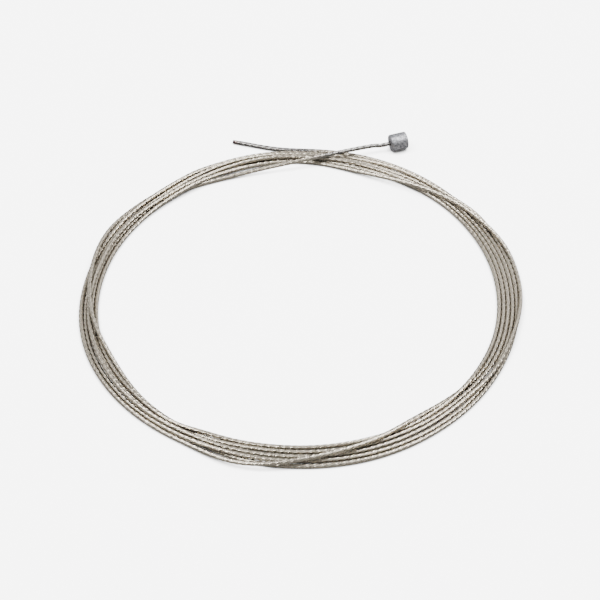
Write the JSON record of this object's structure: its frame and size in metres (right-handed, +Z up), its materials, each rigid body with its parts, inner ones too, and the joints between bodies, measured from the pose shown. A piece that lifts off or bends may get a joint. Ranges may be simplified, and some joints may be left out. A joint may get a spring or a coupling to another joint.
{
  "type": "shift cable",
  "caption": "Bicycle gear inner cable of stranded stainless steel wire in a loose round coil, with a cast barrel head on one end and a fused cut end on the other.",
  "frame": {"origin": "on the floor under the middle of the whole cable's outline, coil, tails and head together", "axes": "+Z up, square to the coil's plane; +Y from the middle towards the side where both tails leave the coil; +X towards the side on which the head lies"},
  "size_m": [0.1084, 0.115, 0.0045],
  "materials": {
    "stranded_steel": "drawn stainless wires laid in a helix, satin, warm grey with dark gaps",
    "cast_zinc": "matte die-cast zinc alloy, mottled grey"
  },
  "bodies": {
    "root": {"coil": "stranded_steel", "head_tail": "stranded_steel", "end_tail": "stranded_steel", "cable_head": "cast_zinc"}
  },
  "joints": []
}
